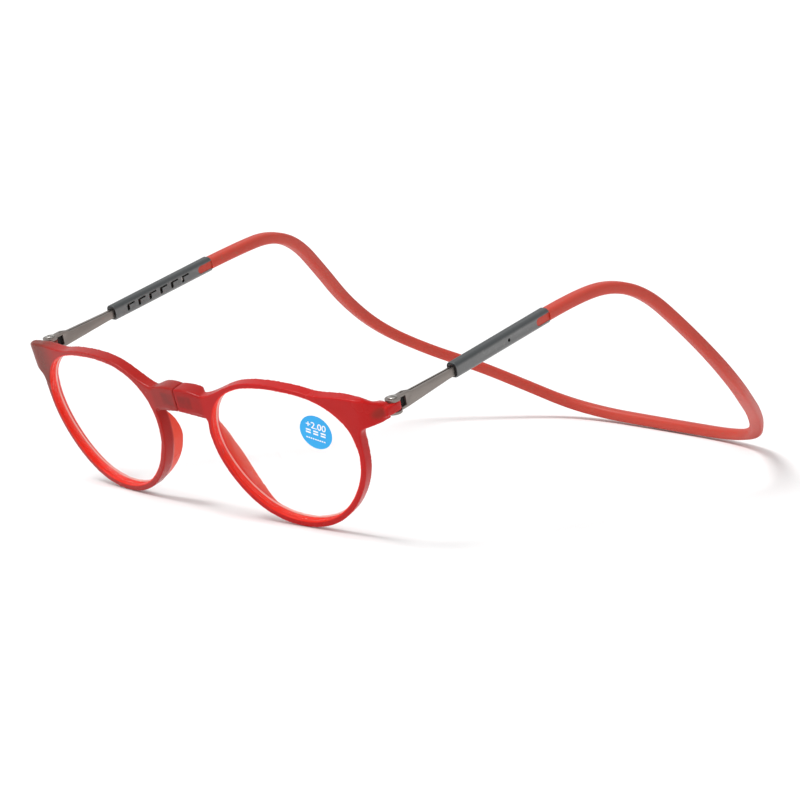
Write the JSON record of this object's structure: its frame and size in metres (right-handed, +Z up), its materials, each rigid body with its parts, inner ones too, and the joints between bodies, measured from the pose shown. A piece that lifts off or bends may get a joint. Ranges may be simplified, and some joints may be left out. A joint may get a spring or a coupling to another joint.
{
  "type": "magnetic bridge reading glasses",
  "caption": "Neck-hung reading glasses: a front split at the nose and joined by magnets, hinged to metal temples that slide in sleeves on a rubber neck band.",
  "frame": {"origin": "centre of the footprint on the surface that the glasses rest on", "axes": "+X to the wearer's left, +Y from the front to the back of the neck band, +Z up"},
  "size_m": [0.1456, 0.218, 0.0634],
  "materials": {
    "frame_plastic": "satin translucent red moulding",
    "lens_clear": "clear polished lens",
    "magnet": "nickel plated block magnet",
    "temple_metal": "satin gunmetal, brushed along its length",
    "screw_metal": "bright turned steel",
    "sleeve_plastic": "dark grey smoky moulding, satin",
    "sticker": "printed blue peel-off label",
    "band_rubber": "satin coral red moulded rubber"
  },
  "bodies": {
    "band_and_sleeves": {"neck_band": "band_rubber", "left_sleeve": "sleeve_plastic", "right_sleeve": "sleeve_plastic"},
    "left_temple_arm": {"left_temple": "temple_metal", "left_hinge_screw": "screw_metal", "left_detent_pin": "screw_metal"},
    "left_front": {"left_front_half": "frame_plastic", "left_lens": "lens_clear", "left_bridge_magnet": "magnet", "left_lens_sticker": "sticker"},
    "right_temple_arm": {"right_temple": "temple_metal", "right_hinge_screw": "screw_metal", "right_detent_pin": "screw_metal"},
    "right_front": {"right_front_half": "frame_plastic", "right_lens": "lens_clear", "right_bridge_magnet": "magnet"}
  },
  "joints": [
    {"name": "left_temple_slide", "type": "slide", "parent": "band_and_sleeves", "child": "left_temple_arm", "axis": [0.0134, -0.9567, -0.2907], "range_m": [0, 0.02225]},
    {"name": "left_front_hinge", "type": "hinge", "parent": "left_temple_arm", "child": "left_front", "pos_m": [0.0654, -0.09241, 0.03724], "axis": [0.0041, -0.2907, 0.9568], "range_deg": [0, 90]},
    {"name": "right_temple_slide", "type": "slide", "parent": "band_and_sleeves", "child": "right_temple_arm", "axis": [-0.0134, -0.9567, -0.2907], "range_m": [0, 0.02225]},
    {"name": "right_front_hinge", "type": "hinge", "parent": "right_temple_arm", "child": "right_front", "pos_m": [-0.0654, -0.09241, 0.03724], "axis": [0.0041, 0.2907, -0.9568], "range_deg": [0, 90]}
  ]
}
